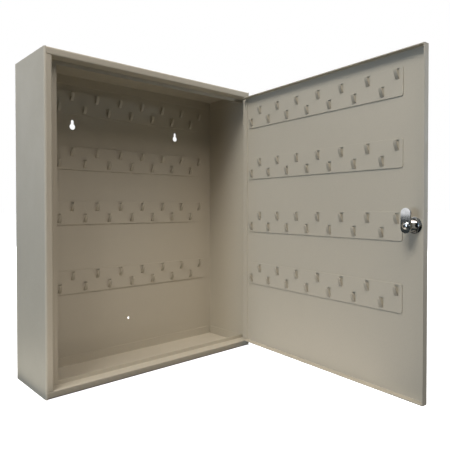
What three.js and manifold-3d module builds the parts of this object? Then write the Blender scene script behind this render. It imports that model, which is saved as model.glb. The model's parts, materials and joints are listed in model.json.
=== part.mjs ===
// A wall-hung sheet-steel key cabinet with its door standing open.
// Units are millimetres: X runs to the right, Y runs back to the wall, Z runs up.
// The origin is on the wall, behind the middle of the cabinet.

import * as THREE from "three";
import { mergeVertices } from "three/addons/utils/BufferGeometryUtils.js";
import Module from "manifold-3d";

const wasm = await Module();
wasm.setup();

// ---------- driving dimensions ----------

const WIDTH = 419;
const HEIGHT = 511;
const DEPTH = 122;
const SHEET = 1.2;
const SEAM = 0.1; // what is left between two welded pieces

const HALF_WIDTH = WIDTH / 2;
const HALF_HEIGHT = HEIGHT / 2;
const INSIDE_X = HALF_WIDTH - SHEET;

// The frame around the door opening.
const FRAME_X = 198; // edge of the opening, left and right of the middle
const FRAME_Z = 244; // edge of the opening, above and below the middle
const LIP_Y = -(DEPTH - 18.5); // front face of the lip the door closes towards
const LIP_BEND_ROOM = 0.8; // what the lip's bend takes in front of it
const LIP_X = 183.7; // inner edge of the lip on the lock side
const LIP_Z = 237.5; // inner edge of the lips at the top and bottom
const BEND_OUTER = 3; // outer radius of the upright front edges
const BEND_END = HALF_WIDTH - BEND_OUTER - SEAM;
const WRAPPER_BEND = 1.4; // inner radius between the back and the sides

// The flanges the two pans turn in against the walls.
const PAN_FLANGE = 17;
const PAN_FLANGE_FRONT = -99;
const PAN_RELIEF = 2.4;

// The holes in the back panel.
const KEYHOLE_X = 112;
const KEYHOLE_Z = 166;
const KEYHOLE_RADIUS = 5.25;
const KEYHOLE_SLOT = 5.3;
const KEYHOLE_RISE = 9.4;
const LOWER_HOLE_Z = -189;
const LOWER_HOLE_RADIUS = 2.25;

// The hook strips.
const STRIP_LENGTH = 336;
const STRIP_HEIGHT = 41;
const STRIP_CORNER = 3;
const BACK_STRIP_X = -145.5;
const BACK_STRIP_CENTRES = [208, 111, 14, -108];
const DOOR_STRIP_START = 17.5;
const DOOR_STRIP_CENTRES = [199, 99.5, -3, -104.2];

// The hooks lanced out of a strip.
const HOOKS_IN_ROW = 7;
const HOOK_WIDTH = 5.4;
const WINDOW_WIDTH = 6.4;
const WINDOW_HEIGHT = 15;
const LOWER_FOOT = 3.5;
const UPPER_FOOT = 24;
const BACK_ROWS = { pitch: 48, lower: 8, upper: 32 }; // where each row starts
const DOOR_ROWS = { pitch: 49, lower: 8.75, upper: 33.25 };
const HOOK_STEP = 5.1; // each of the three straight lengths of a hook
const HOOK_ANGLES = [50, 66, 78]; // how steeply each length rises

// The hinge.
const PIN_X = FRAME_X - 2.5;
const PIN_Y = -DEPTH;
const PIN_RADIUS = 1.2;
const KNUCKLE_RADIUS = 2.4;
const KNUCKLE_BORE = 1.28;
const HINGE_HALF = 238;
const KNUCKLES = 19;
const KNUCKLE_GAP = 0.3;
const LEAF_FRONT = SHEET + SEAM;
const LEAF_BACK = KNUCKLE_RADIUS;
const DOOR_LEAF_WIDTH = 11.4;
const BODY_LEAF_WIDTH = 10.8;
const KNUCKLE_SIDES = 12;

// The door, drawn closed about the pin and then turned.
const DOOR_OPEN = 83.5; // degrees
const DOOR_WIDTH = 390;
const DOOR_HALF = 240;
const DOOR_DEPTH = 11.2;
const DOOR_START = 2.6;
const DOOR_BEND = 1.8;
const DOOR_FLANGE_START = 7;

// The cam lock, about its own axis.
const LOCK_U = 371;
const LOCK_Z = -1;
const HEAD_RADIUS = 11;
const HEAD_FRONT = -3.6;
const BARREL_RADIUS = 8.2;
const BARREL_FLAT = 7.3;
const BARREL_END = 18.6;
const BORE_RADIUS = 5.53;
const FACE_BORE_RADIUS = 6.4;
const FACE_BORE_END = -1.95;
const PLUG_RADIUS = 5.45;
const PLUG_FACE_RADIUS = 6.3;
const PLUG_FACE_END = -2;
const DOOR_HOLE_CLEARANCE = 0.15;
const COLLAR_INNER = 6.3;
const COLLAR_END = 20;
const NUT_RADIUS = 11.2;
const NUT_FRONT = 2.2;
const NUT_BACK = 7.2;
const WASHER_RADIUS = 11.5;
const WASHER_BACK = 2.1;
const STOP_FRONT = 18.75;
const STOP_BACK = 20.25;
const STOP_RADIUS = 6;
const STOP_EAR_RADIUS = 8;
const STOP_EAR_WIDTH = 5.6;
const CAM_FRONT = 20.4;
const CAM_BACK = 22.4;
const CAM_WIDTH = 14.5;
const CAM_TIP = 23.8;
const CAM_HEEL = 10.5;
const TAIL_HALF = 3.3;
const TAIL_HOLE_HALF = 3.38;
const SCREW_RADIUS = 1.9;
const SCREW_BORE = 1.95;
const SCREW_START = 15.8;
const SCREW_HEAD_RADIUS = 5;
const SCREW_HEAD_HEIGHT = 2.6;
const KEYWAY_HALF = 0.8;
const KEYWAY_HEIGHT = 7.2;
const KEYWAY_END = 15;

// The wafers inside the plug.
const WAFERS = 5;
const WAFER_FIRST = 2.2;
const WAFER_PITCH = 2.6;
const WAFER_THICKNESS = 1.3;
const WAFER_RADIUS = 5.35;
const WAFER_HALF = 3.1;
const WAFER_SLOT = 1.5;
const WAFER_SLOT_HALF = 3.2;
const GROOVE_HALF = 3.3;
const GROOVE_RADIUS = 6.45;
const SPRING_POCKET_X = 1.5;
const SPRING_LEDGE = -3.4;
const WAFER_NOTCH_X = 1.4;
const WAFER_NOTCH_Z = 1;
const SPRING_X = 2.35;
const SPRING_RADIUS = 0.5;
const SPRING_WIRE = 0.12;
const SPRING_TURNS = 3;

const FINE = 32; // sides of a round that turns in another
const PLAIN = 24; // sides of any other round

// ---------- solids ----------

// A closed geometry as a solid that can be joined and cut.
function solid(geometry) {
  const bare = geometry.clone();
  bare.deleteAttribute("normal");
  bare.deleteAttribute("uv");
  const merged = mergeVertices(bare, 1e-4);
  return new wasm.Manifold(
    new wasm.Mesh({
      numProp: 3,
      vertProperties: new Float32Array(merged.attributes.position.array),
      triVerts: new Uint32Array(merged.index.array),
    }),
  );
}

function geometryOf(body) {
  const mesh = body.getMesh();
  const geometry = new THREE.BufferGeometry();
  geometry.setAttribute("position", new THREE.BufferAttribute(mesh.vertProperties, 3));
  geometry.setIndex(new THREE.BufferAttribute(mesh.triVerts, 1));
  geometry.computeVertexNormals();
  return geometry;
}

function joined(bodies) {
  return bodies.reduce((all, body) => all.add(body));
}

// A box between two limits along each axis.
function block(x, y, z) {
  const geometry = new THREE.BoxGeometry(x[1] - x[0], y[1] - y[0], z[1] - z[0]);
  geometry.translate((x[0] + x[1]) / 2, (y[0] + y[1]) / 2, (z[0] + z[1]) / 2);
  return solid(geometry);
}

// A round bar along Y, from one depth to another.
function barAlongY(radius, from, to, sides) {
  const geometry = new THREE.CylinderGeometry(radius, radius, to - from, sides);
  geometry.translate(0, (from + to) / 2, 0);
  return solid(geometry);
}

// A round bar along Z, from one height to another.
function barAlongZ(radius, from, to, sides) {
  const geometry = new THREE.CylinderGeometry(radius, radius, to - from, sides);
  geometry.rotateX(Math.PI / 2);
  geometry.translate(0, 0, (from + to) / 2);
  return solid(geometry);
}

function extruded(shape, length) {
  return new THREE.ExtrudeGeometry(shape, { depth: length, bevelEnabled: false, curveSegments: 6 });
}

// A plan outline (x, y) standing between two heights.
function raisedPlan(shape, z) {
  const geometry = extruded(shape, z[1] - z[0]);
  geometry.translate(0, 0, z[0]);
  return solid(geometry);
}

// A side outline (y, z) running between two values of x.
function drawnAcross(shape, x) {
  const geometry = extruded(shape, x[1] - x[0]);
  const turn = new THREE.Matrix4().makeBasis(
    new THREE.Vector3(0, 1, 0),
    new THREE.Vector3(0, 0, 1),
    new THREE.Vector3(1, 0, 0),
  );
  geometry.applyMatrix4(turn);
  geometry.translate(x[0], 0, 0);
  return solid(geometry);
}

// A front outline (x, z) running back between two depths.
function drawnBack(shape, y) {
  const geometry = extruded(shape, y[1] - y[0]);
  geometry.rotateX(Math.PI / 2);
  geometry.translate(0, y[1], 0);
  return solid(geometry);
}

// The edge-on outline of one sheet bent along a path of its middle.
// Each inner corner of the path carries the radius of its bend.
function foldedSheet(path, thickness) {
  const left = [];
  const right = [];
  const half = thickness / 2;
  const put = (point, across) => {
    left.push(point.clone().addScaledVector(across, half));
    right.push(point.clone().addScaledVector(across, -half));
  };
  const points = path.map((corner) => new THREE.Vector2(corner[0], corner[1]));
  const along = points.slice(1).map((point, i) => point.clone().sub(points[i]).normalize());
  const acrossOf = (direction) => new THREE.Vector2(-direction.y, direction.x);
  put(points[0], acrossOf(along[0]));
  for (let i = 1; i < points.length - 1; i += 1) {
    const turn = Math.sign(along[i - 1].cross(along[i]));
    const radius = path[i][2];
    const centre = points[i]
      .clone()
      .addScaledVector(along[i - 1], -radius)
      .addScaledVector(acrossOf(along[i - 1]), turn * radius);
    const steps = 3;
    for (let step = 0; step <= steps; step += 1) {
      const angle = (turn * (Math.PI / 2) * step) / steps;
      const across = acrossOf(along[i - 1]).rotateAround(new THREE.Vector2(), angle);
      put(centre.clone().addScaledVector(across, -turn * radius), across);
    }
  }
  put(points[points.length - 1], acrossOf(along[along.length - 1]));
  return new THREE.Shape([...left, ...right.reverse()]);
}

// A rectangle with the given radius on some of its corners.
function roundedRectangle(x, y, radii) {
  const shape = new THREE.Shape();
  const corners = [
    [x[1], y[0], radii[0], -Math.PI / 2],
    [x[1], y[1], radii[1], 0],
    [x[0], y[1], radii[2], Math.PI / 2],
    [x[0], y[0], radii[3], Math.PI],
  ];
  const points = [];
  for (const [cornerX, cornerY, radius, start] of corners) {
    const centreX = cornerX + (cornerX === x[1] ? -radius : radius);
    const centreY = cornerY + (cornerY === y[1] ? -radius : radius);
    const steps = radius > 0 ? 3 : 0;
    for (let step = 0; step <= steps; step += 1) {
      const angle = start + (steps ? ((Math.PI / 2) * step) / steps : 0);
      points.push(
        new THREE.Vector2(
          centreX + radius * Math.cos(angle),
          centreY + radius * Math.sin(angle),
        ),
      );
    }
  }
  shape.setFromPoints(points);
  return shape;
}

// ---------- materials ----------

function paint() {
  return new THREE.MeshStandardMaterial({ color: 0xb9b09a, roughness: 0.55, metalness: 0 });
}

function chrome() {
  return new THREE.MeshStandardMaterial({ color: 0xc9cbce, roughness: 0.18, metalness: 1 });
}

function zincPlate() {
  return new THREE.MeshStandardMaterial({ color: 0xa9aba8, roughness: 0.35, metalness: 1 });
}

function brass() {
  return new THREE.MeshStandardMaterial({ color: 0xb08d4a, roughness: 0.35, metalness: 1 });
}

function springSteel() {
  return new THREE.MeshStandardMaterial({ color: 0x8d8f92, roughness: 0.3, metalness: 1 });
}

function named(name, body, material) {
  const mesh = new THREE.Mesh(geometryOf(body), material);
  mesh.name = name;
  return mesh;
}

// ---------- the cabinet ----------

// A keyhole: a round hole for the screw head with a slot rising from it.
function keyhole(x) {
  const round = barAlongY(KEYHOLE_RADIUS, -2 * SHEET, SHEET, PLAIN);
  const slotEnd = barAlongY(KEYHOLE_SLOT / 2, -2 * SHEET, SHEET, PLAIN).translate([0, 0, KEYHOLE_RISE]);
  const slot = block([-KEYHOLE_SLOT / 2, KEYHOLE_SLOT / 2], [-2 * SHEET, SHEET], [0, KEYHOLE_RISE]);
  return joined([round, slot, slotEnd]).translate([x, 0, KEYHOLE_Z]);
}

// The wrapper: one sheet that makes the back, both sides, the upright parts of the
// front and, on the lock side, the return and the lip.
function bodyShell() {
  const middle = SHEET / 2;
  const lipMiddle = LIP_Y + middle;
  const outline = foldedSheet(
    [
      [-LIP_X, lipMiddle],
      [-FRAME_X - middle, lipMiddle, 1.2],
      [-FRAME_X - middle, -DEPTH + middle, 1.2],
      [-HALF_WIDTH + middle, -DEPTH + middle, BEND_OUTER - middle],
      [-HALF_WIDTH + middle, -middle, WRAPPER_BEND + middle],
      [HALF_WIDTH - middle, -middle, WRAPPER_BEND + middle],
      [HALF_WIDTH - middle, -DEPTH + middle, BEND_OUTER - middle],
      [FRAME_X, -DEPTH + middle],
    ],
    SHEET,
  );
  let shell = raisedPlan(outline, [-HALF_HEIGHT, HALF_HEIGHT]);
  const frontZone = [-DEPTH - 1, LIP_Y + 2 * SHEET];
  for (const side of [-1, 1]) {
    const beyond = (limit) => (side > 0 ? [limit, HALF_HEIGHT + 1] : [-HALF_HEIGHT - 1, -limit]);
    // The upright front flanges stop at the opening, and the pans fill the corners.
    const flangeEnd = beyond(FRAME_Z - SEAM);
    shell = shell.subtract(block([-BEND_END - SEAM, -LIP_X + 1], frontZone, flangeEnd));
    shell = shell.subtract(block([FRAME_X - 1, BEND_END + SEAM], [-DEPTH - 1, -DEPTH + 3], flangeEnd));
    // The upright lip stops under the pans' lips.
    const lipX = [-FRAME_X - 2 * SHEET, -LIP_X + 1];
    const lipY = [LIP_Y - LIP_BEND_ROOM, LIP_Y + 2 * SHEET];
    shell = shell.subtract(block(lipX, lipY, beyond(LIP_Z - SEAM)));
  }
  for (const x of [-KEYHOLE_X, KEYHOLE_X]) {
    shell = shell.subtract(keyhole(x));
  }
  const lowerHole = barAlongY(LOWER_HOLE_RADIUS, -2 * SHEET, SHEET, 16);
  shell = shell.subtract(lowerHole.translate([0, 0, LOWER_HOLE_Z]));
  return named("body_shell", shell, paint());
}

// The top of the cabinet with its front flange, return and lip, and the flanges it
// turns down against the walls. Turned over, it is the bottom.
function pan(name) {
  const middle = SHEET / 2;
  const backMiddle = -SHEET - SEAM - middle;
  const flangeFoot = HALF_HEIGHT - PAN_FLANGE;
  const topMiddle = HALF_HEIGHT - middle;
  const side = foldedSheet(
    [
      [backMiddle, flangeFoot],
      [backMiddle, topMiddle, 1.5],
      [-DEPTH + middle, topMiddle, 2],
      [-DEPTH + middle, FRAME_Z + middle, 1.2],
      [LIP_Y + middle, FRAME_Z + middle, 1.2],
      [LIP_Y + middle, LIP_Z],
    ],
    SHEET,
  );
  const reach = INSIDE_X - SEAM;
  let body = drawnAcross(side, [-reach, reach]);
  // The front flange fits between the rounded upright edges.
  const frontZone = [-DEPTH - 1, -DEPTH + BEND_OUTER + SEAM];
  const cornerZone = [FRAME_Z - 10, HALF_HEIGHT + 1];
  body = body.subtract(block([-reach - 1, -BEND_END + SEAM], frontZone, cornerZone));
  body = body.subtract(block([BEND_END - SEAM, reach + 1], frontZone, cornerZone));
  // Clear the corners of the back flange, and add the two side flanges.
  const backZone = [-PAN_RELIEF - 2 * SHEET, 0];
  for (const direction of [-1, 1]) {
    const sides = (a, b) => (direction > 0 ? [a, b] : [-b, -a]);
    const reliefZone = sides(reach - SHEET - PAN_RELIEF, reach + 1);
    body = body.subtract(block(reliefZone, backZone, [flangeFoot - 1, HALF_HEIGHT - SHEET]));
    // The plate itself only clears the bend between the wrapper's side and back.
    const bendZone = [-SHEET - SEAM - WRAPPER_BEND, 0];
    const bendCorner = block(sides(reach - WRAPPER_BEND, reach + 1), bendZone, cornerZone);
    body = body.subtract(bendCorner);
    body = body.add(
      block(
        sides(reach - SHEET, reach),
        [PAN_FLANGE_FRONT, -PAN_RELIEF - 2 * SHEET],
        [flangeFoot, HALF_HEIGHT - middle],
      ),
    );
  }
  return named(name, body, paint());
}

// ---------- the hook strips ----------

// One hook: a tongue that leaves the strip at its foot and rises as it leans out.
function hook() {
  const middle = [new THREE.Vector2(-SHEET / 2, 0)];
  for (const degrees of HOOK_ANGLES) {
    const angle = THREE.MathUtils.degToRad(degrees);
    const last = middle[middle.length - 1];
    middle.push(
      new THREE.Vector2(
        last.x - HOOK_STEP * Math.cos(angle),
        last.y + HOOK_STEP * Math.sin(angle),
      ),
    );
  }
  const half = SHEET / 2;
  const upper = [];
  const lower = [];
  middle.forEach((point, i) => {
    const before = HOOK_ANGLES[Math.max(i - 1, 0)];
    const after = HOOK_ANGLES[Math.min(i, HOOK_ANGLES.length - 1)];
    const angle = THREE.MathUtils.degToRad((before + after) / 2);
    const across = new THREE.Vector2(Math.sin(angle), Math.cos(angle));
    upper.push(point.clone().addScaledVector(across, half));
    lower.push(point.clone().addScaledVector(across, -half));
  });
  const outline = new THREE.Shape([...upper, ...lower.reverse()]);
  return drawnAcross(outline, [-HOOK_WIDTH / 2, HOOK_WIDTH / 2]);
}

// A strip lies with its back on the plane y = 0 and its hooks towards -Y.
// Its left end is at x = 0 and its lower edge at z = 0.
function hookStrip(name, rows) {
  const plate = roundedRectangle([0, STRIP_LENGTH], [0, STRIP_HEIGHT], Array(4).fill(STRIP_CORNER));
  let strip = drawnBack(plate, [-SHEET, 0]);
  for (const [start, foot] of [[rows.lower, LOWER_FOOT], [rows.upper, UPPER_FOOT]]) {
    for (let i = 0; i < HOOKS_IN_ROW; i += 1) {
      const x = start + i * rows.pitch;
      const window = block(
        [x - WINDOW_WIDTH / 2, x + WINDOW_WIDTH / 2],
        [-2 * SHEET, SHEET],
        [foot, foot + WINDOW_HEIGHT],
      );
      strip = strip.subtract(window);
      strip = strip.add(hook().translate([x, 0, foot]));
    }
  }
  return named(name, strip, paint());
}

function backStrip(number, centre) {
  const strip = hookStrip("back_hook_strip_" + number, BACK_ROWS);
  strip.position.set(BACK_STRIP_X, -SHEET - SEAM, centre - STRIP_HEIGHT / 2);
  return strip;
}

// On the door the strip is turned about to face the other way.
function doorStrip(number, centre) {
  const strip = hookStrip("door_hook_strip_" + number, DOOR_ROWS);
  strip.rotation.z = Math.PI;
  strip.position.set(-DOOR_STRIP_START, SHEET + SEAM, centre - STRIP_HEIGHT / 2);
  return strip;
}

// ---------- the hinge ----------

// One leaf of the continuous hinge about the pin: `side` is 1 for a leaf to the
// right of the pin and -1 for one to its left, and `odd` says which knuckles it has.
function hingeLeaf(name, side, odd, width) {
  const pitch = (2 * HINGE_HALF) / KNUCKLES;
  const sides = (a, b) => (side > 0 ? [a, b] : [-b, -a]);
  const clear = KNUCKLE_RADIUS + KNUCKLE_GAP;
  const leafY = [LEAF_FRONT, LEAF_BACK];
  let leaf = block(sides(clear, width), leafY, [-HINGE_HALF, HINGE_HALF]);
  const bores = [];
  for (let i = 0; i < KNUCKLES; i += 1) {
    if (i % 2 === (odd ? 1 : 0)) {
      const from = -HINGE_HALF + i * pitch + (i > 0 ? KNUCKLE_GAP / 2 : 0);
      const to = -HINGE_HALF + (i + 1) * pitch - (i < KNUCKLES - 1 ? KNUCKLE_GAP / 2 : 0);
      leaf = leaf.add(barAlongZ(KNUCKLE_RADIUS, from, to, KNUCKLE_SIDES));
      leaf = leaf.add(block(sides(0, clear + 1), leafY, [from, to]));
      bores.push(barAlongZ(KNUCKLE_BORE, from - 0.05, to + 0.05, KNUCKLE_SIDES));
    }
  }
  for (const bore of bores) {
    leaf = leaf.subtract(bore);
  }
  return named(name, leaf, paint());
}

function hingePin() {
  const mesh = named(
    "hinge_pin",
    barAlongZ(PIN_RADIUS, -HINGE_HALF, HINGE_HALF, PLAIN),
    zincPlate(),
  );
  mesh.position.set(PIN_X, PIN_Y, 0);
  return mesh;
}

function bodyLeaf() {
  const leaf = hingeLeaf("hinge_body_leaf", 1, false, BODY_LEAF_WIDTH);
  leaf.position.set(PIN_X, PIN_Y, 0);
  return leaf;
}

// ---------- the door ----------

// A filled block with the door's outline, standing `inset` inside its outer faces.
function doorBlock(inset, startX, endY) {
  const radius = DOOR_BEND - inset;
  const farX = -DOOR_WIDTH + inset;
  const reach = DOOR_HALF - inset;
  const plan = roundedRectangle([farX, startX], [inset, endY], [0, 0, 0, radius]);
  const side = roundedRectangle([inset, endY], [-reach, reach], [0, 0, radius, radius]);
  const fromPlan = raisedPlan(plan, [-reach, reach]);
  return fromPlan.intersect(drawnAcross(side, [farX, startX]));
}

// The door panel: a shallow tray with flanges at the top, the bottom and the lock side.
function doorPanel() {
  const filled = doorBlock(0, -DOOR_START, DOOR_DEPTH);
  const hollow = doorBlock(SHEET, -DOOR_START + 1, DOOR_DEPTH + 1);
  let tray = filled.subtract(hollow);
  for (const z of [[DOOR_HALF - SHEET - 1, DOOR_HALF + 1], [-DOOR_HALF - 1, -DOOR_HALF + SHEET + 1]]) {
    tray = tray.subtract(block([-DOOR_FLANGE_START, 0], [SHEET, DOOR_DEPTH + 1], z));
  }
  const fit = DOOR_HOLE_CLEARANCE;
  const hole = flattened(
    barAlongY(BARREL_RADIUS + fit, -1, SHEET + 1, PLAIN),
    BARREL_FLAT + fit,
    [-1, SHEET + 1],
  );
  return named("door_panel", tray.subtract(hole.translate([-LOCK_U, 0, LOCK_Z])), paint());
}

// ---------- the lock ----------

// Cuts a flat on the left and right of a round body over part of its length.
function flattened(body, half, y) {
  const far = 2 * HEAD_RADIUS;
  return body
    .subtract(block([half, far], y, [-far, far]))
    .subtract(block([-far, -half], y, [-far, far]));
}

// A solid of revolution about Y from a closed outline of [radius, y] points.
function turned(points, sides) {
  const outline = points.map((point) => new THREE.Vector2(point[0], point[1]));
  return solid(new THREE.LatheGeometry(outline, sides));
}

// The slots along the bore that the wafers drop into, at both ends of the plug's turn.
function waferGrooves() {
  const y = [WAFER_FIRST - 1.4, WAFER_FIRST + (WAFERS - 1) * WAFER_PITCH + 1.4];
  const long = [-GROOVE_RADIUS, GROOVE_RADIUS];
  const wide = [-GROOVE_HALF, GROOVE_HALF];
  return block(wide, y, long).add(block(long, y, wide));
}

function lockHousing() {
  const body = turned(
    [
      [BORE_RADIUS, COLLAR_END],
      [BORE_RADIUS, FACE_BORE_END],
      [FACE_BORE_RADIUS, FACE_BORE_END],
      [FACE_BORE_RADIUS, HEAD_FRONT],
      [HEAD_RADIUS - 1.2, HEAD_FRONT],
      [HEAD_RADIUS, HEAD_FRONT + 1.2],
      [HEAD_RADIUS, -SEAM],
      [BARREL_RADIUS, -SEAM],
      [BARREL_RADIUS, COLLAR_END],
      [BORE_RADIUS, COLLAR_END],
    ],
    FINE,
  );
  const barrel = flattened(body, BARREL_FLAT, [-SEAM, COLLAR_END + 1]);
  // The stop washer turns in a recess in the end, and its ear in a window beside it.
  const recess = barAlongY(COLLAR_INNER, BARREL_END, COLLAR_END + 1, FINE);
  const far = 2 * HEAD_RADIUS;
  const room = STOP_EAR_WIDTH / 2 + 0.15;
  const windowZone = [BARREL_END, COLLAR_END + 1];
  const window = block([-room, far], windowZone, [-far, room]);
  const housing = barrel.subtract(recess).subtract(window).subtract(waferGrooves());
  return named("lock_housing", housing, chrome());
}

function lockWasher() {
  const outer = barAlongY(WASHER_RADIUS, SHEET + SEAM, WASHER_BACK, PLAIN);
  const hole = barAlongY(BARREL_RADIUS + 0.1, 0, NUT_FRONT, FINE);
  return named("lock_washer", outer.subtract(hole), zincPlate());
}

function lockNut() {
  const hexagon = new THREE.CylinderGeometry(NUT_RADIUS, NUT_RADIUS, NUT_BACK - NUT_FRONT, 6);
  hexagon.rotateY(Math.PI / 6);
  hexagon.translate(0, (NUT_FRONT + NUT_BACK) / 2, 0);
  // Both ends are chamfered by the same shallow cone.
  const rim = NUT_RADIUS * Math.cos(Math.PI / 6);
  const cone = turned(
    [
      [0, NUT_FRONT],
      [rim, NUT_FRONT],
      [NUT_RADIUS + 0.1, NUT_FRONT + 0.8],
      [NUT_RADIUS + 0.1, NUT_BACK - 0.8],
      [rim, NUT_BACK],
      [0, NUT_BACK],
    ],
    FINE,
  );
  const hole = barAlongY(BARREL_RADIUS + 0.06, NUT_FRONT - 1, NUT_BACK + 1, FINE);
  return named("lock_nut", solid(hexagon).intersect(cone).subtract(hole), chrome());
}

function lockPlug() {
  const round = turned(
    [
      [0, HEAD_FRONT + 0.2],
      [PLUG_FACE_RADIUS, HEAD_FRONT + 0.2],
      [PLUG_FACE_RADIUS, PLUG_FACE_END],
      [PLUG_RADIUS, PLUG_FACE_END],
      [PLUG_RADIUS, BARREL_END],
      [0, BARREL_END],
    ],
    FINE,
  );
  const tailSides = [-TAIL_HALF, TAIL_HALF];
  let plug = round.add(block(tailSides, [BARREL_END - 1, CAM_BACK], tailSides));
  const keyway = [-KEYWAY_HEIGHT / 2, KEYWAY_HEIGHT / 2];
  plug = plug.subtract(block([-KEYWAY_HALF, KEYWAY_HALF], [HEAD_FRONT, KEYWAY_END], keyway));
  plug = plug.subtract(barAlongY(SCREW_BORE, SCREW_START - 0.2, CAM_BACK + 1, PLAIN));
  for (let i = 0; i < WAFERS; i += 1) {
    const centre = WAFER_FIRST + i * WAFER_PITCH;
    const slot = [centre - WAFER_SLOT / 2, centre + WAFER_SLOT / 2];
    const far = 2 * PLUG_RADIUS;
    plug = plug
      .subtract(block([-WAFER_SLOT_HALF, SPRING_POCKET_X], slot, [-far, far]))
      .subtract(block([0, WAFER_SLOT_HALF], slot, [SPRING_LEDGE, far]));
  }
  return named("lock_plug", plug, chrome());
}

// A wafer, level with the plug as the right key would hold it.
function wafer(number) {
  const centre = WAFER_FIRST + (number - 1) * WAFER_PITCH;
  const y = [centre - WAFER_THICKNESS / 2, centre + WAFER_THICKNESS / 2];
  const far = 2 * PLUG_RADIUS;
  const body = barAlongY(WAFER_RADIUS, y[0], y[1], PLAIN)
    .subtract(block([WAFER_HALF, far], [y[0] - 1, y[1] + 1], [-far, far]))
    .subtract(block([-far, -WAFER_HALF], [y[0] - 1, y[1] + 1], [-far, far]))
    .subtract(block([-1.7, 0.9], [y[0] - 1, y[1] + 1], [-2.9, 2.9]))
    .subtract(block([WAFER_NOTCH_X, far], [y[0] - 1, y[1] + 1], [-far, WAFER_NOTCH_Z]));
  return named("wafer_" + number, body, brass());
}

// The small coil that lifts a wafer, standing on the plug's ledge beside it.
function waferSpring(number) {
  const centre = WAFER_FIRST + (number - 1) * WAFER_PITCH;
  const bottom = SPRING_LEDGE + SPRING_WIRE + 0.06;
  const top = WAFER_NOTCH_Z - SPRING_WIRE - 0.06;
  const stepsPerTurn = 8;
  const points = [];
  for (let i = 0; i <= SPRING_TURNS * stepsPerTurn; i += 1) {
    const angle = (2 * Math.PI * i) / stepsPerTurn;
    const share = i / (SPRING_TURNS * stepsPerTurn);
    points.push(
      new THREE.Vector3(
        SPRING_X + SPRING_RADIUS * Math.cos(angle),
        centre + SPRING_RADIUS * Math.sin(angle),
        bottom + (top - bottom) * share,
      ),
    );
  }
  const wire = SPRING_WIRE;
  const section = roundedRectangle([-wire, wire], [-wire, wire], Array(4).fill(0));
  const coil = new THREE.ExtrudeGeometry(section, {
    steps: SPRING_TURNS * stepsPerTurn,
    bevelEnabled: false,
    extrudePath: new THREE.CatmullRomCurve3(points),
  });
  return named("wafer_spring_" + number, solid(coil), springSteel());
}

// The washer that limits the turn to a quarter: its ear stops against the housing.
function stopWasher() {
  const y = [STOP_FRONT, STOP_BACK];
  const disc = barAlongY(STOP_RADIUS, y[0], y[1], PLAIN);
  const half = STOP_EAR_WIDTH / 2;
  const ear = block([-half, half], y, [-STOP_EAR_RADIUS, 0]);
  const round = barAlongY(STOP_EAR_RADIUS, y[0], y[1], FINE);
  const hole = [-TAIL_HOLE_HALF, TAIL_HOLE_HALF];
  const body = disc.add(ear.intersect(round)).subtract(block(hole, [y[0] - 1, y[1] + 1], hole));
  return named("stop_washer", body, zincPlate());
}

function cam() {
  const half = CAM_WIDTH / 2;
  const plate = roundedEnds(half, -CAM_HEEL, CAM_TIP);
  const hole = [-TAIL_HOLE_HALF, TAIL_HOLE_HALF];
  const body = drawnBack(plate, [CAM_FRONT, CAM_BACK]);
  const cut = block(hole, [CAM_FRONT - 1, CAM_BACK + 1], hole);
  return named("cam", body.subtract(cut), zincPlate());
}

// A bar in front view with round ends, from one height to another.
function roundedEnds(half, bottom, top) {
  const shape = new THREE.Shape();
  shape.absarc(0, top - half, half, 0, Math.PI, false);
  shape.absarc(0, bottom + half, half, Math.PI, 2 * Math.PI, false);
  return shape;
}

function camScrew() {
  const seat = CAM_BACK + SEAM;
  const screw = turned(
    [
      [0, SCREW_START],
      [SCREW_RADIUS - 0.3, SCREW_START],
      [SCREW_RADIUS, SCREW_START + 0.5],
      [SCREW_RADIUS, seat],
      [SCREW_HEAD_RADIUS, seat],
      [SCREW_HEAD_RADIUS, seat + SCREW_HEAD_HEIGHT * 0.5],
      [SCREW_HEAD_RADIUS * 0.8, seat + SCREW_HEAD_HEIGHT * 0.9],
      [SCREW_HEAD_RADIUS * 0.5, seat + SCREW_HEAD_HEIGHT],
      [0, seat + SCREW_HEAD_HEIGHT],
    ],
    PLAIN,
  );
  const depth = [seat + SCREW_HEAD_HEIGHT - 1.4, seat + SCREW_HEAD_HEIGHT + 1];
  const long = [-2.6, 2.6];
  const thin = [-0.5, 0.5];
  const cross = block(long, depth, thin).add(block(thin, depth, long));
  return named("cam_screw", screw.subtract(cross), zincPlate());
}

// What turns with the key.
function turningGroup() {
  const group = new THREE.Group();
  group.name = "turning_parts";
  group.add(lockPlug(), stopWasher(), cam(), camScrew());
  for (let number = 1; number <= WAFERS; number += 1) {
    group.add(wafer(number), waferSpring(number));
  }
  return group;
}

function lock() {
  const group = new THREE.Group();
  group.name = "cam_lock";
  group.add(lockHousing(), lockWasher(), lockNut(), turningGroup());
  group.position.set(-LOCK_U, 0, LOCK_Z);
  return group;
}

// ---------- assembly ----------

function door() {
  const group = new THREE.Group();
  group.name = "door";
  group.add(doorPanel(), hingeLeaf("hinge_door_leaf", -1, true, DOOR_LEAF_WIDTH), lock());
  DOOR_STRIP_CENTRES.forEach((centre, i) => group.add(doorStrip(i + 1, centre)));
  group.position.set(PIN_X, PIN_Y, 0);
  group.rotation.z = THREE.MathUtils.degToRad(DOOR_OPEN);
  return group;
}

function cabinet() {
  const group = new THREE.Group();
  group.name = "key_cabinet";
  const bottom = pan("bottom_pan");
  bottom.rotation.y = Math.PI;
  group.add(bodyShell(), pan("top_pan"), bottom, bodyLeaf(), hingePin());
  BACK_STRIP_CENTRES.forEach((centre, i) => group.add(backStrip(i + 1, centre)));
  group.add(door());
  return group;
}

export default cabinet();
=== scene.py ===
"""The look of the steel key cabinet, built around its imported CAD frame."""

import json
import math

import bmesh
import bpy
from mathutils import Matrix, Vector

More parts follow.
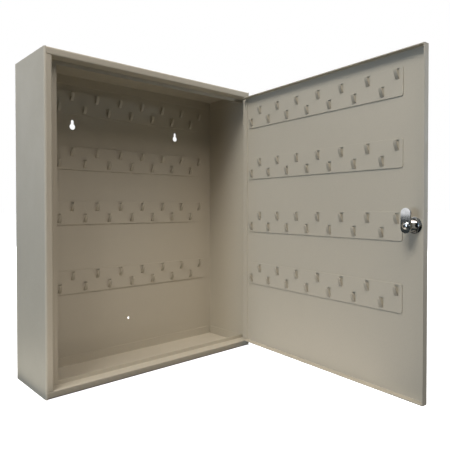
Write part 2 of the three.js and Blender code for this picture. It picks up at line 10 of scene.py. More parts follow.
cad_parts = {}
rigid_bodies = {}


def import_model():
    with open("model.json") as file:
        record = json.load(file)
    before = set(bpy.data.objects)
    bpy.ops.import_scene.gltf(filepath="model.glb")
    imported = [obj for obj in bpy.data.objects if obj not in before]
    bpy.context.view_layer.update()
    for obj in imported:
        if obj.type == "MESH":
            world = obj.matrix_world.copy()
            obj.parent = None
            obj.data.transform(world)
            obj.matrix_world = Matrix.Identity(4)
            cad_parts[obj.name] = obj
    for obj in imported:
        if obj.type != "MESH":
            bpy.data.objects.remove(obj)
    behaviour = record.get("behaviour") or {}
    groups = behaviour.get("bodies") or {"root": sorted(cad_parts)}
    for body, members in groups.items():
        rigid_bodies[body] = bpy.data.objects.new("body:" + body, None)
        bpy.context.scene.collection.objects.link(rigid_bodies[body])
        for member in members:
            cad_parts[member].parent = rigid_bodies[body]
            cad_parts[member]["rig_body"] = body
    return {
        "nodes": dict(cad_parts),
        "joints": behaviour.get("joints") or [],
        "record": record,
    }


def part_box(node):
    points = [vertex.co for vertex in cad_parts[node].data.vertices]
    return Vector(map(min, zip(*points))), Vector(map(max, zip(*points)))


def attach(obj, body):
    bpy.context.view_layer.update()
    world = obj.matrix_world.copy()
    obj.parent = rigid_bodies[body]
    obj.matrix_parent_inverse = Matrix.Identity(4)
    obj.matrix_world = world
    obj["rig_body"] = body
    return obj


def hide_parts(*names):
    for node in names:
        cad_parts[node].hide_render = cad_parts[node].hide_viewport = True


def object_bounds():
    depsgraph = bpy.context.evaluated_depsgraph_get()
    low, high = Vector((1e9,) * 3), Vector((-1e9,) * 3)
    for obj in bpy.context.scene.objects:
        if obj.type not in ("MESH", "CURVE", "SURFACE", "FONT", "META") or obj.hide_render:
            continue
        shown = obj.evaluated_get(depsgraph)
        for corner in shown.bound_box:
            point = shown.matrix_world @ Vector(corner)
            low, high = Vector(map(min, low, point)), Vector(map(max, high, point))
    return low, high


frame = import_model()
cad_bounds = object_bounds()
nodes = frame["nodes"]
joints = {joint["name"]: joint for joint in frame["joints"]}

MM = 0.001
SHEET = 1.2 * MM
SEAM = 0.1 * MM
WELD = 1e-7

# The door's own frame: the origin on the hinge pin, -X along the door, +Y into the cabinet when shut.
# The lock's frame is turned the same way, with its origin where the lock's axis meets the door's outside.
DOOR_OPEN = math.radians(-joints["door_hinge"]["range_deg"][0])
ON_DOOR = Matrix.Translation(joints["door_hinge"]["pos_m"]) @ Matrix.Rotation(DOOR_OPEN, 4, "Z")
ON_CABINET = Matrix.Translation(joints["door_hinge"]["pos_m"])
ON_LOCK = Matrix.Translation(joints["lock_turn"]["pos_m"]) @ Matrix.Rotation(DOOR_OPEN, 4, "Z")

# The hook strips.
STRIP_LENGTH = 336 * MM
STRIP_HEIGHT = 41 * MM
STRIP_CORNER = 3 * MM
STRIP_EDGE = 0.15 * MM
STRIPS_ON_A_SIDE = 4
DOOR_STRIP_START = 17.5 * MM
HOOKS_IN_ROW = 7
HOOK_WIDTH = 5.4 * MM
HOOK_THICKNESS = 1.15 * MM
HOOK_LENGTH = 15.3 * MM
HOOK_TIP_ROUND = 1.7 * MM
HOOK_ROOT = 0.8 * MM
HOOK_LEAN = math.radians(43)
HOOK_UPRIGHT = math.radians(85)
HOOK_FOOT_LEAN = math.radians(88)
HOOK_FOOT_BEND = 2.2 * HOOK_ROOT
HOOK_CORNER = 0.22 * MM
HOOK_STEPS = 44
WINDOW_WIDTH = 6.4 * MM
WINDOW_HEIGHT = 15 * MM
WINDOW_CORNER = 0.5 * MM
ROW_FEET = {"lower": 3.5 * MM, "upper": 24 * MM}
BACK_ROWS = {"pitch": 48 * MM, "lower": 8 * MM, "upper": 32 * MM}
DOOR_ROWS = {"pitch": 49 * MM, "lower": 8.75 * MM, "upper": 33.25 * MM}

# The cam lock, about its own axis.
HEAD_RADIUS = 11 * MM
HEAD_FRONT = -3.6 * MM
HEAD_ROUND = 1.4 * MM
FACE_BORE_RADIUS = 6.4 * MM
FACE_BORE_END = -1.95 * MM
BORE_RADIUS = 5.53 * MM
BARREL_RADIUS = 8.2 * MM
BARREL_FLAT = 7.3 * MM
BARREL_END = 20 * MM
RECESS_START = 18.6 * MM
RECESS_RADIUS = 6.3 * MM
STOP_ROOM = 2.95 * MM
GROOVE_HALF = 3.3 * MM
GROOVE_RADIUS = 6.45 * MM
GROOVE_REACH = (0.8 * MM, 14 * MM)
THREAD_START = 0.6 * MM
THREAD_PITCH = 1.0 * MM
THREAD_DEPTH = 0.42 * MM
NUT_RADIUS = 11.2 * MM
NUT_FLAT = NUT_RADIUS * math.cos(math.pi / 6)
NUT_CORNER_RADIUS = NUT_RADIUS * 0.992
NUT_FACE_RADIUS = NUT_FLAT * 0.97
NUT_FRONT = 2.2 * MM
NUT_BACK = 7.2 * MM
NUT_CHAMFER = 0.75 * MM
NUT_BORE_RADIUS = BARREL_RADIUS + 0.1 * MM
NUT_SINK_RADIUS = BARREL_RADIUS + 0.7 * MM
NUT_SINK = 0.7 * MM
CAM_BACK = 22.4 * MM
SCREW_HEAD_RADIUS = 5 * MM
SCREW_HEAD_HEIGHT = 2.6 * MM
SCREW_HEAD_TOP = 0.36  # the crown's radius as a share of the head's
SCREW_HEAD_RIM = 0.12  # the rim's height as a share of the head's
SCREW_RADIUS = 1.9 * MM
SCREW_START = 15.8 * MM
SCREW_POINT = 0.3 * MM
SCREW_POINT_LENGTH = 0.5 * MM
CROSS_DEPTH = 1.4 * MM
CROSS_HALF_LENGTH = 2.5 * MM
CROSS_HALF_WIDTH = 0.45 * MM
ROUND = 96  # sides of the rings of the nut and housing
RECESS_SIDES = 64
SCREW_SIDES = 48

# The hinge.
KNUCKLES = 19
HINGE_HALF = 238 * MM
KNUCKLE_RADIUS = 2.4 * MM
KNUCKLE_BORE = 1.28 * MM
KNUCKLE_GAP = 0.3 * MM
KNUCKLE_EDGE = 0.15 * MM
KNUCKLE_SIDES = 32
LEAF_FRONT = 1.3 * MM
LEAF_BACK = 2.4 * MM
LEAF_CLEAR = KNUCKLE_RADIUS + KNUCKLE_GAP
DOOR_LEAF_WIDTH = 11.4 * MM
# A bridge joins each knuckle to its leaf. It is a little shorter than the knuckle, and a little thinner
# than the leaf at the back.
BRIDGE_START = 1.5 * MM
BRIDGE_OVERLAP = 1 * MM
BRIDGE_INSET = 0.05 * MM
BRIDGE_STEP = 0.02 * MM

# Edges: the bevels, and for each new piece the angle in degrees above which an edge is drawn sharp.
EDGE_BEVEL = 0.3 * MM
WAFER_BEVEL = 0.04 * MM
BEVEL_ANGLE = math.radians(25)
LEAF_SHARP = 30
STRIP_SHARP = 18
NUT_SHARP = 24
SCREW_SHARP = 35
HOUSING_SHARP = 40

PAINT_COLOUR = (0.49, 0.458, 0.375)
CHROME_COLOUR = (0.80, 0.81, 0.82)
NICKEL_COLOUR = (0.2, 0.205, 0.2)
ZINC_COLOUR = (0.72, 0.73, 0.74)
BRASS_COLOUR = (0.60, 0.42, 0.16)
SPRING_COLOUR = (0.45, 0.46, 0.48)

# How fine each kind of unevenness is, as a noise scale per metre.
PAINT_CLOUDS = 5.0
PAINT_WAVES = 14.0
PAINT_SHEEN = 35.0
PAINT_PATCHES = 60.0
PAINT_PEEL = 520.0
PAINT_SPECKS = 900.0
METAL_TONE = 140.0
METAL_SHEEN = 320.0
METAL_GRAIN = 1100.0


# ---------- materials ----------


class Surface:
    """A node material with helpers for procedural detail."""

    def __init__(self, name):
        self.material = bpy.data.materials.new(name)
        self.material.use_nodes = True
        self.tree = self.material.node_tree
        self.shader = self.tree.nodes["Principled BSDF"]
        place = self.tree.nodes.new("ShaderNodeTexCoord")
        self.place = place.outputs["Object"]

    def link(self, a, b):
        self.tree.links.new(a, b)

    def noise(self, scale, detail=2.0):
        node = self.tree.nodes.new("ShaderNodeTexNoise")
        node.inputs["Scale"].default_value = scale
        node.inputs["Detail"].default_value = detail
        self.link(self.place, node.inputs["Vector"])
        return node.outputs["Fac"]

    def ramp(self, value, low, high, start=0.35, end=0.65):
        """Stretches the part of a noise between start and end over low to high."""
        node = self.tree.nodes.new("ShaderNodeMapRange")
        node.inputs["From Min"].default_value = start
        node.inputs["From Max"].default_value = end
        node.inputs["To Min"].default_value = low
        node.inputs["To Max"].default_value = high
        self.link(value, node.inputs["Value"])
        return node.outputs["Result"]

    def mix(self, factor, a, b):
        """A blend of two colours, each a triple or a socket."""
        node = self.tree.nodes.new("ShaderNodeMix")
        node.data_type = "RGBA"
        self.link(factor, node.inputs["Factor"])
        for socket, value in ((node.inputs[6], a), (node.inputs[7], b)):
            if isinstance(value, tuple):
                socket.default_value = (*value, 1.0)
            else:
                self.link(value, socket)
        return node.outputs[2]

    def bump(self, height, distance, strength=1.0, after=None):
        node = self.tree.nodes.new("ShaderNodeBump")
        node.inputs["Distance"].default_value = distance
        node.inputs["Strength"].default_value = strength
        self.link(height, node.inputs["Height"])
        if after is not None:
            self.link(after, node.inputs["Normal"])
        return node.outputs["Normal"]


def scaled(colour, k):
    return tuple(min(1.0, c * k) for c in colour)


def powder_coat():
    """Semi-matt paint: a faint cloudiness, a fine speckle, orange peel and a slight wave in the sheet."""
    s = Surface("powder_coat")
    cloud = s.ramp(s.noise(PAINT_CLOUDS, 3.0), 0.0, 1.0)
    grain = s.ramp(s.noise(PAINT_SPECKS), 0.0, 1.0, 0.3, 0.7)
    base = s.mix(cloud, scaled(PAINT_COLOUR, 0.97), scaled(PAINT_COLOUR, 1.03))
    speck = s.mix(grain, scaled(PAINT_COLOUR, 0.93), scaled(PAINT_COLOUR, 1.05))
    blend = s.mix(s.ramp(s.noise(PAINT_PATCHES), 0.35, 0.65), base, speck)
    s.link(blend, s.shader.inputs["Base Color"])
    s.link(s.ramp(s.noise(PAINT_SHEEN, 4.0), 0.44, 0.56), s.shader.inputs["Roughness"])
    peel = s.bump(s.noise(PAINT_PEEL, 1.5), 0.12 * MM, 0.5)
    waves = s.bump(s.noise(PAINT_WAVES, 1.0), 0.8 * MM, 0.12, peel)
    s.link(waves, s.shader.inputs["Normal"])
    s.shader.inputs["Specular IOR Level"].default_value = 0.4
    return s.material


def metal(name, colour, roughness, spread=0.05, bump=0.01 * MM):
    """Metal with a patchy tone, roughness that varies by the spread, and fine unevenness."""
    s = Surface(name)
    tone = s.ramp(s.noise(METAL_TONE, 3.0), 0.0, 1.0)
    s.link(s.mix(tone, scaled(colour, 0.9), scaled(colour, 1.06)), s.shader.inputs["Base Color"])
    s.shader.inputs["Metallic"].default_value = 1.0
    rough = s.ramp(s.noise(METAL_SHEEN, 3.0), roughness - spread, roughness + spread)
    s.link(rough, s.shader.inputs["Roughness"])
    s.link(s.bump(s.noise(METAL_GRAIN), bump), s.shader.inputs["Normal"])
    return s.material


PAINT = powder_coat()
CHROME = metal("chrome_plate", CHROME_COLOUR, 0.08, 0.02, 0.003 * MM)
NICKEL = metal("dark_nickel", NICKEL_COLOUR, 0.12, 0.03, 0.003 * MM)
ZINC = metal("zinc_plate", ZINC_COLOUR, 0.06, 0.015, 0.002 * MM)
BRASS = metal("wafer_brass", BRASS_COLOUR, 0.3)
SPRING = metal("spring_wire", SPRING_COLOUR, 0.25)
BY_SLOT = {"paint": PAINT, "chrome": CHROME, "zinc": ZINC, "brass": BRASS, "spring_steel": SPRING}
SLOT_OF = {part["node"]: part["material_slot"] for part in frame["record"]["subparts"]}


def dress_cad_nodes():
    """Gives every carried-over CAD node its material and softly broken edges."""
    for name, obj in nodes.items():
        obj.data.materials.clear()
        obj.data.materials.append(BY_SLOT[SLOT_OF[name]])
        bevel = obj.modifiers.new("edges", "BEVEL")
        bevel.width = WAFER_BEVEL if name.startswith("wafer") else EDGE_BEVEL
        bevel.segments = 2
        bevel.limit_method = "ANGLE"
        bevel.angle_limit = BEVEL_ANGLE
        bevel.use_clamp_overlap = True
        for polygon in obj.data.polygons:
            polygon.use_smooth = True
        weighted = obj.modifiers.new("normals", "WEIGHTED_NORMAL")
        weighted.keep_sharp = True


# ---------- mesh making ----------


def mesh_object(name, points, faces):
    mesh = bpy.data.meshes.new(name)
    mesh.from_pydata(points, [], faces)
    mesh.validate()
    obj = bpy.data.objects.new(name, mesh)
    bpy.context.scene.collection.objects.link(obj)
    return obj


def applied(obj):
    """Turns an object with its modifiers, or a curve, into one plain mesh object of the same name."""
    bpy.context.view_layer.update()
    graph = bpy.context.evaluated_depsgraph_get()
    mesh = bpy.data.meshes.new_from_object(obj.evaluated_get(graph))
    name = obj.name
    bpy.data.objects.remove(obj)
    made = bpy.data.objects.new(name, mesh)
    bpy.context.scene.collection.objects.link(made)
    return made


def combined(obj, others, operation):
    """Joins to a solid, or cuts from it, each of the others, which are used up."""
    for other in others:
        modifier = obj.modifiers.new(other.name, "BOOLEAN")
        modifier.operation = operation
        modifier.solver = "EXACT"
        modifier.object = other
    obj = applied(obj)
    for other in others:
        bpy.data.objects.remove(other)
    return obj


def box(x, y, z):
    """A closed block between two values on each axis."""
    points = [(a, b, c) for a in x for b in y for c in z]
    faces = [(0, 1, 3, 2), (4, 6, 7, 5), (0, 4, 5, 1), (2, 3, 7, 6), (0, 2, 6, 4), (1, 5, 7, 3)]
    return outward(mesh_object("box", points, faces))


def tube_of_rings(name, rings, closed=False):
    """A skin through rings of equal length, shut by a face at each end or joined end to end."""
    count = len(rings[0])
    points = [point for ring in rings for point in ring]
    faces = []
    spans = len(rings) if closed else len(rings) - 1
    for i in range(spans):
        near = i * count
        far = ((i + 1) % len(rings)) * count
        for j in range(count):
            k = (j + 1) % count
            faces.append((near + j, near + k, far + k, far + j))
    if not closed:
        faces.append(tuple(reversed(range(count))))
        faces.append(tuple(range((len(rings) - 1) * count, len(rings) * count)))
    return mesh_object(name, points, faces)


def outward(obj):
    """Makes every face point out of its solid."""
    work = bmesh.new()
    work.from_mesh(obj.data)
    bmesh.ops.remove_doubles(work, verts=work.verts, dist=WELD)
    bmesh.ops.recalc_face_normals(work, faces=work.faces)
    work.to_mesh(obj.data)
    work.free()
    return obj


def finished(obj, node, place, sharp, material=None):
    """Shades a piece, sets it in place, gives it its material and lets it stand for its CAD node."""
    obj.data.transform(place)
    obj.data.materials.clear()
    obj.data.materials.append(material or BY_SLOT[SLOT_OF[node]])
    for polygon in obj.data.polygons:
        polygon.use_smooth = True
    obj.data.set_sharp_from_angle(angle=math.radians(sharp))
    weighted = obj.modifiers.new("normals", "WEIGHTED_NORMAL")
    weighted.keep_sharp = True
    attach(obj, nodes[node]["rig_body"])
    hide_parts(node)


# ---------- hook strips ----------


def rounded_corners(x, z, radius, steps=6):
    """A rectangle's outline, anticlockwise, with each corner an arc."""
    left, right = x[0] + radius, x[1] - radius
    low, high = z[0] + radius, z[1] - radius
    points = []
    for cx, cz, start in ((right, low, -90), (right, high, 0), (left, high, 90), (left, low, 180)):
        for step in range(steps + 1):
            angle = math.radians(start + 90 * step / steps)
            points.append((cx + radius * math.cos(angle), cz + radius * math.sin(angle)))
    return points


def punched_plate(name, outline, windows, thickness, edge):
    """A sheet with windows and softly rolled edges, standing in the XZ plane with its back on y = 0."""
    curve = bpy.data.curves.new(name, "CURVE")
    curve.dimensions = "2D"
    curve.fill_mode = "BOTH"
    curve.extrude = thickness / 2 - edge
    curve.bevel_depth = edge
    curve.bevel_resolution = 1
    curve.offset = -edge
    for loop in [outline, *windows]:
        spline = curve.splines.new("POLY")
        spline.points.add(len(loop) - 1)
        for point, (x, z) in zip(spline.points, loop):
            point.co = (x, z, 0, 1)
        spline.use_cyclic_u = True
    obj = bpy.data.objects.new(name, curve)
    bpy.context.scene.collection.objects.link(obj)
    plate = applied(obj)
    upright = Matrix.Rotation(math.pi / 2, 4, "X")
    plate.data.transform(Matrix.Translation((0, -thickness / 2, 0)) @ upright)
    return outward(plate)


def hook(x, foot):
    """A tongue that leaves the sheet at its foot, leans out and curves up to a rounded tip."""
    length = HOOK_ROOT + HOOK_LENGTH
    stride = length / HOOK_STEPS
    out = -SHEET / 2
    up = foot - HOOK_ROOT
    rings = []
    for step in range(HOOK_STEPS + 1):
        along = step * stride
        bend = min(1.0, along / HOOK_FOOT_BEND)
        lean = HOOK_LEAN + (HOOK_UPRIGHT - HOOK_LEAN) * max(0.0, along - HOOK_ROOT) / HOOK_LENGTH
        angle = HOOK_FOOT_LEAN * (1 - bend) + lean * bend
        from_tip = length - along
        half = HOOK_WIDTH / 2
        if from_tip < HOOK_TIP_ROUND:
            fall = HOOK_TIP_ROUND - from_tip
            half += math.sqrt(max(0.0, HOOK_TIP_ROUND**2 - fall**2)) - HOOK_TIP_ROUND
        rings.append(tongue_section(x, out, up, angle, half))
        out -= math.cos(angle) * stride
        up += math.sin(angle) * stride
    return outward(tube_of_rings("hook", rings))


def tongue_section(x, out, up, angle, half):
    """A rounded slab across a hook at one point of its path."""
    thick = HOOK_THICKNESS / 2
    outline = rounded_corners((-half, half), (-thick, thick), HOOK_CORNER, 3)
    return [(x + a, out + b * math.sin(angle), up + b * math.cos(angle)) for a, b in outline]


def strip_mesh(name, rows):
    """A whole strip with its back on y = 0, its left end at x = 0 and its lower edge at z = 0."""
    spots = [
        (rows[row] + i * rows["pitch"], foot) for row, foot in ROW_FEET.items() for i in range(HOOKS_IN_ROW)
    ]
    half = WINDOW_WIDTH / 2
    windows = [
        rounded_corners((x - half, x + half), (foot, foot + WINDOW_HEIGHT), WINDOW_CORNER, 3)
        for x, foot in spots
    ]
    outline = rounded_corners((0, STRIP_LENGTH), (0, STRIP_HEIGHT), STRIP_CORNER)
    plate = punched_plate(name, outline, windows, SHEET, STRIP_EDGE)
    return combined(plate, [hook(x, foot) for x, foot in spots], "UNION")


def hook_strips():
    """One pattern for each side, copied to the place of every strip there."""
    for side, rows in (("back", BACK_ROWS), ("door", DOOR_ROWS)):
        pattern = strip_mesh(side + "_strip_pattern", rows)
        for number in range(1, STRIPS_ON_A_SIDE + 1):
            node = f"{side}_hook_strip_{number}"
            low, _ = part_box(node)
            strip = bpy.data.objects.new(f"{side}_strip_{number}_pressed", pattern.data.copy())
            bpy.context.scene.collection.objects.link(strip)
            if side == "back":
                place = Matrix.Translation((low.x, -SHEET - SEAM, low.z))
            else:
                turned = Matrix.Rotation(math.pi, 4, "Z")
                place = ON_DOOR @ Matrix.Translation((-DOOR_STRIP_START, SHEET + SEAM, low.z)) @ turned
            finished(strip, node, place, STRIP_SHARP)
        bpy.data.objects.remove(pattern)


# ---------- lock ----------


def turns(sides):
    return [2 * math.pi * j / sides for j in range(sides)]


def round_ring(radius, y, sides=ROUND):
    return [(radius * math.cos(a), y, radius * math.sin(a)) for a in turns(sides)]


def nut_ring(y, depth):
    """The nut's outline at y, which is depth in from an end: a hexagon cut back by the chamfer's cone."""
    cone = NUT_FACE_RADIUS + (NUT_RADIUS - NUT_FACE_RADIUS) * depth / NUT_CHAMFER
    ring = []
    for angle in turns(ROUND):
        flat = NUT_FLAT / math.cos(angle % (math.pi / 3) - math.pi / 6)
        radius = min(flat, NUT_CORNER_RADIUS, cone)
        ring.append((radius * math.cos(angle), y, radius * math.sin(angle)))
    return ring


def lock_nut():
    """A hexagon nut with both ends chamfered by the same shallow cone and a countersunk bore."""
    steps = 5
    depths = [NUT_CHAMFER * step / steps for step in range(steps + 1)]
    rings = [round_ring(NUT_BORE_RADIUS, NUT_FRONT + NUT_SINK), round_ring(NUT_SINK_RADIUS, NUT_FRONT)]
    rings += [nut_ring(NUT_FRONT + depth, depth) for depth in depths]
    rings += [nut_ring(NUT_BACK - depth, depth) for depth in reversed(depths)]
    rings += [round_ring(NUT_SINK_RADIUS, NUT_BACK), round_ring(NUT_BORE_RADIUS, NUT_BACK - NUT_SINK)]
    nut = outward(tube_of_rings("hexagon_nut", rings, closed=True))
    finished(nut, "lock_nut", ON_LOCK, NUT_SHARP, NICKEL)


def barrel_radius(angle, y):
    """The thread's radius at a point of the barrel, cut back by the two flats."""
    turn = (y / THREAD_PITCH - angle / (2 * math.pi)) % 1.0
    crest = abs(2 * turn - 1)
    rise = min(1.0, max(0.0, y - THREAD_START) / THREAD_PITCH)
    fall = min(1.0, (BARREL_END - y) / THREAD_PITCH)
    thread = BARREL_RADIUS - THREAD_DEPTH * crest * rise * fall
    across = max(abs(math.cos(angle)), 0.1)
    return min(thread, BARREL_FLAT / across)


def barrel_ring(y):
    ring = []
    for angle in turns(ROUND):
        radius = barrel_radius(angle, y)
        ring.append((radius * math.cos(angle), y, radius * math.sin(angle)))
    return ring


def lock_housing():
    """The housing: a round head outside the door and a threaded barrel with two flats through it."""
    head_steps, barrel_steps = 6, 120
    rings = [
        round_ring(BORE_RADIUS, BARREL_END),
        round_ring(BORE_RADIUS, FACE_BORE_END),
        round_ring(FACE_BORE_RADIUS, FACE_BORE_END),
        round_ring(FACE_BORE_RADIUS, HEAD_FRONT),
    ]
    for step in range(head_steps + 1):
        angle = math.pi / 2 * step / head_steps
        radius = HEAD_RADIUS - HEAD_ROUND + HEAD_ROUND * math.sin(angle)
        rings.append(round_ring(radius, HEAD_FRONT + HEAD_ROUND * (1 - math.cos(angle))))
    rings.append(round_ring(HEAD_RADIUS, -SEAM))
    for step in range(barrel_steps + 1):
        rings.append(barrel_ring(-SEAM + (BARREL_END + SEAM) * step / barrel_steps))
    body = outward(tube_of_rings("threaded_housing", rings, closed=True))
    # The stop washer turns in a recess in the end, and its ear in a window beside it. The wafers slide
    # out into grooves along the bore, at both ends of the plug's turn.
    far = 2 * HEAD_RADIUS
    end = (RECESS_START, BARREL_END + MM)
    recess = outward(tube_of_rings("recess", [round_ring(RECESS_RADIUS, y, RECESS_SIDES) for y in end]))
    window = box((-STOP_ROOM, far), end, (-far, STOP_ROOM))
    long, wide = (-GROOVE_RADIUS, GROOVE_RADIUS), (-GROOVE_HALF, GROOVE_HALF)
    grooves = [box(wide, GROOVE_REACH, long), box(long, GROOVE_REACH, wide)]
    housing = combined(body, [recess, window, *grooves], "DIFFERENCE")
    finished(housing, "lock_housing", ON_LOCK, HOUSING_SHARP)


def cam_screw():
    """A pan-head screw with a crosshead recess."""
    steps = 8
    seat = CAM_BACK + SEAM
    rings = [
        round_ring(SCREW_RADIUS - SCREW_POINT, SCREW_START, SCREW_SIDES),
        round_ring(SCREW_RADIUS, SCREW_START + SCREW_POINT_LENGTH, SCREW_SIDES),
        round_ring(SCREW_RADIUS, seat, SCREW_SIDES),
        round_ring(SCREW_HEAD_RADIUS - SEAM, seat, SCREW_SIDES),
    ]
    for step in range(steps + 1):
        angle = math.pi / 2 * step / steps
        radius = SCREW_HEAD_RADIUS * (SCREW_HEAD_TOP + (1 - SCREW_HEAD_TOP) * math.cos(angle))
        height = SCREW_HEAD_HEIGHT * (SCREW_HEAD_RIM + (1 - SCREW_HEAD_RIM) * math.sin(angle))
        rings.append(round_ring(radius, seat + height, SCREW_SIDES))
    screw = outward(tube_of_rings("pan_head_screw", rings))
    top = seat + SCREW_HEAD_HEIGHT
    deep = (top - CROSS_DEPTH, top + MM)
    long, thin = (-CROSS_HALF_LENGTH, CROSS_HALF_LENGTH), (-CROSS_HALF_WIDTH, CROSS_HALF_WIDTH)
    cross = [box(long, deep, thin), box(thin, deep, long)]
    finished(combined(screw, cross, "DIFFERENCE"), "cam_screw", ON_LOCK, SCREW_SHARP)


# ---------- hinge ----------


def knuckle(z):
    """A length of the curl that wraps the pin."""
    inner = KNUCKLE_RADIUS - KNUCKLE_EDGE
    outline = [
        (KNUCKLE_BORE, z[0]),
        (inner, z[0]),
        (KNUCKLE_RADIUS, z[0] + KNUCKLE_EDGE),
        (KNUCKLE_RADIUS, z[1] - KNUCKLE_EDGE),
        (inner, z[1]),
        (KNUCKLE_BORE, z[1]),
    ]
    rings = [
        [(radius * math.cos(a), radius * math.sin(a), height) for a in turns(KNUCKLE_SIDES)]
        for radius, height in outline
    ]
    return outward(tube_of_rings("knuckle", rings, closed=True))


def hinge_leaf(name, node, side, width, first, place):
    """A leaf and every second knuckle from the first, to the right of the pin (side 1) or left (-1)."""
    pitch = 2 * HINGE_HALF / KNUCKLES
    leaf = box(sorted((side * LEAF_CLEAR, side * width)), (LEAF_FRONT, LEAF_BACK), (-HINGE_HALF, HINGE_HALF))
    leaf.name = name
    bridge_x = sorted((side * BRIDGE_START, side * (LEAF_CLEAR + BRIDGE_OVERLAP)))
    parts = []
    for i in range(first, KNUCKLES, 2):
        start = -HINGE_HALF + i * pitch + (KNUCKLE_GAP / 2 if i > 0 else 0)
        end = -HINGE_HALF + (i + 1) * pitch - (KNUCKLE_GAP / 2 if i < KNUCKLES - 1 else 0)
        inset = (start + BRIDGE_INSET, end - BRIDGE_INSET)
        parts += [knuckle((start, end)), box(bridge_x, (LEAF_FRONT, LEAF_BACK - BRIDGE_STEP), inset)]
    finished(combined(leaf, parts, "UNION"), node, place, LEAF_SHARP)


def hinge():
    pin_x = ON_CABINET.translation.x
    body_leaf_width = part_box("hinge_body_leaf")[1].x - pin_x
    hinge_leaf("rolled_body_leaf", "hinge_body_leaf", 1, body_leaf_width, 0, ON_CABINET)
    hinge_leaf("rolled_door_leaf", "hinge_door_leaf", -1, DOOR_LEAF_WIDTH, 1, ON_DOOR)


# ---------- stage ----------

FLOOR_Z = cad_bounds[0][2]
TABLE_Z = FLOOR_Z + 4 * MM
WHITE = (1, 1, 1)

# Name, place, what it is aimed at, size, power in watts and colour. The two table lights stand for the
# light that a pale table throws up, and the last two light the right side and the back.
LIGHTS = (
    ("key", (-0.35, -1.55, 2.1), (0, -0.2, 0), (1.2, 1.7), 30.2, (1, 0.87, 0.78)),
    ("top_left", (-1.45, -0.75, 2.1), (0, -0.2, 0), (1.0, 1.0), 48.9, (1, 0.95, 0.9)),
    ("right", (0.9, -1.6, 2.0), (0, -0.1, 0), (0.9, 0.9), 3.7, (0.5, 0.72, 1)),
    ("door_edge", (0.75, -1.0, 0.2), (0.15, -0.5, 0), (0.3, 0.5), 2.1, (0.71, 0.85, 1)),
    ("left_mid", (-2.3, -0.2, 0.3), (0, -0.3, 0), (0.7, 0.5), 3.1, (0, 0.43, 1)),
    ("left_low", (-2.3, -0.2, -0.15), (0, -0.3, 0), (0.7, 0.25), 10.2, (0.77, 0.87, 1)),
    ("table_left", (-0.29, -0.08, TABLE_Z), (-0.29, -0.08, 1), (0.14, 0.4), 0.12, (1, 0.93, 0.8)),
    ("table_front", (-0.05, -0.3, TABLE_Z), (-0.05, -0.3, 1), (0.5, 0.3), 0.4, (1, 0.88, 0.76)),
    ("right_side", (2.4, 0.3, 1.0), (0.2, -0.2, 0), (1.4, 1.4), 24, (1, 0.98, 0.94)),
    ("behind", (0.9, 2.4, 0.9), (0, 0, 0), (1.6, 1.6), 40, (1, 0.98, 0.94)),
)

# The white wall that polished metal shows, by direction from the object: how far up it reaches, and
# how far round from the direction of its middle.
WALL_FOOT = (-0.019, -0.011)
WALL_TOP = (0.75, 0.3)
WALL_MIDDLE = (-0.6, 0.8, 0)
WALL_SIDES = (-0.1, 0.6)
ROOM_COLOUR = (0.03, 0.035, 0.035)

FLOOR_SIZE = 60
FLOOR_DROP = 0.5 * MM

CAMERA_PLACE = (-0.4726, -0.7866, 0.0227)
CAMERA_TURN = (89.172, 0.035, -41.615)  # degrees about X, Y and Z
CAMERA_SENSOR = 36.0  # millimetres
CAMERA_LENS = 37.452  # millimetres
CAMERA_SHIFT = (0.02096, -0.02273)
CAMERA_NEAR = 0.01


def matte_white():
    """A matt white that glows evenly, so the floor fades into the white behind it."""
    s = Surface("studio_floor")
    tone = s.ramp(s.noise(3.0, 2.0), 0.0, 1.0)
    s.link(s.mix(tone, (0.86, 0.86, 0.86), (0.88, 0.88, 0.88)), s.shader.inputs["Base Color"])
    s.shader.inputs["Roughness"].default_value = 0.9
    s.shader.inputs["Specular IOR Level"].default_value = 0.1
    s.shader.inputs["Emission Color"].default_value = (*WHITE, 1)
    s.shader.inputs["Emission Strength"].default_value = 1.0
    return s.material


def studio_floor():
    """A floor that the camera sees but that throws no light onto the object."""
    bpy.ops.mesh.primitive_plane_add(size=FLOOR_SIZE, location=(0, 0, FLOOR_Z - FLOOR_DROP))
    floor = bpy.context.object
    floor.name = "studio_floor"
    floor.data.materials.append(matte_white())
    floor.visible_diffuse = False
    floor.visible_glossy = False


def soft_light(name, position, target, size, power, colour):
    data = bpy.data.lights.new(name, "AREA")
    data.shape = "RECTANGLE"
    data.size, data.size_y = size
    data.energy = power
    data.color = colour
    lamp = bpy.data.objects.new(name, data)
    bpy.context.scene.collection.objects.link(lamp)
    lamp.location = position
    lamp.visible_camera = False
    aim = Vector(target) - Vector(position)
    lamp.rotation_euler = aim.to_track_quat("-Z", "Y").to_euler()


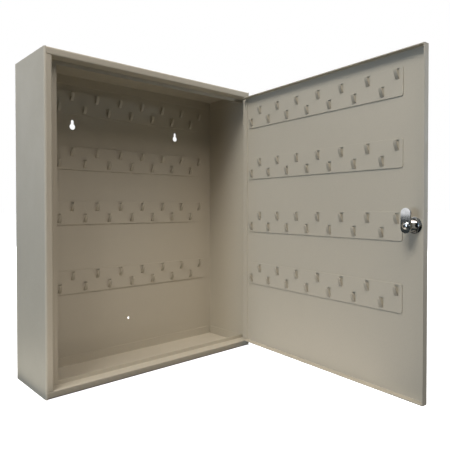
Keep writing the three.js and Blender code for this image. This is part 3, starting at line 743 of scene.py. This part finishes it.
def studio_world():
    """White to the camera; to reflections, a dark room with a white wall at the object's back left."""
    world = bpy.data.worlds.new("studio")
    world.use_nodes = True
    tree = world.node_tree
    new, link = tree.nodes.new, tree.links.new

    def eased(value, span):
        node = new("ShaderNodeMapRange")
        node.interpolation_type = "SMOOTHSTEP"
        node.inputs["From Min"].default_value, node.inputs["From Max"].default_value = span
        link(value, node.inputs["Value"])
        return node.outputs["Result"]

    def product(a, b):
        node = new("ShaderNodeMath")
        node.operation = "MULTIPLY"
        link(a, node.inputs[0])
        link(b, node.inputs[1])
        return node.outputs["Value"]

    def white_where(factor):
        node = new("ShaderNodeMix")
        node.data_type = "RGBA"
        node.inputs[7].default_value = (*WHITE, 1)
        link(factor, node.inputs["Factor"])
        return node

    direction = new("ShaderNodeTexCoord").outputs["Generated"]
    split = new("ShaderNodeSeparateXYZ")
    link(direction, split.inputs["Vector"])
    height = split.outputs["Z"]
    towards = new("ShaderNodeVectorMath")
    towards.operation = "DOT_PRODUCT"
    towards.inputs[1].default_value = WALL_MIDDLE
    link(direction, towards.inputs[0])
    upright = product(eased(height, WALL_FOOT), eased(height, WALL_TOP))
    room = white_where(product(eased(towards.outputs["Value"], WALL_SIDES), upright))
    room.inputs[6].default_value = (*ROOM_COLOUR, 1)
    seen = white_where(new("ShaderNodeLightPath").outputs["Is Camera Ray"])
    link(room.outputs[2], seen.inputs[6])
    background = tree.nodes["Background"]
    link(seen.outputs[2], background.inputs["Color"])
    background.inputs["Strength"].default_value = 1.0
    world.cycles_visibility.diffuse = False
    bpy.context.scene.world = world


def camera():
    data = bpy.data.cameras.new("camera")
    data.sensor_width = CAMERA_SENSOR
    data.lens = CAMERA_LENS
    data.shift_x, data.shift_y = CAMERA_SHIFT
    data.clip_start = CAMERA_NEAR
    obj = bpy.data.objects.new("camera", data)
    bpy.context.scene.collection.objects.link(obj)
    obj.location = CAMERA_PLACE
    obj.rotation_euler = [math.radians(turn) for turn in CAMERA_TURN]
    bpy.context.scene.camera = obj


# ---------- the picture ----------

camera()
dress_cad_nodes()
hook_strips()
lock_nut()
lock_housing()
cam_screw()
hinge()

studio_world()
studio_floor()
for lamp in LIGHTS:
    soft_light(*lamp)
bpy.context.scene.view_settings.view_transform = "Standard"
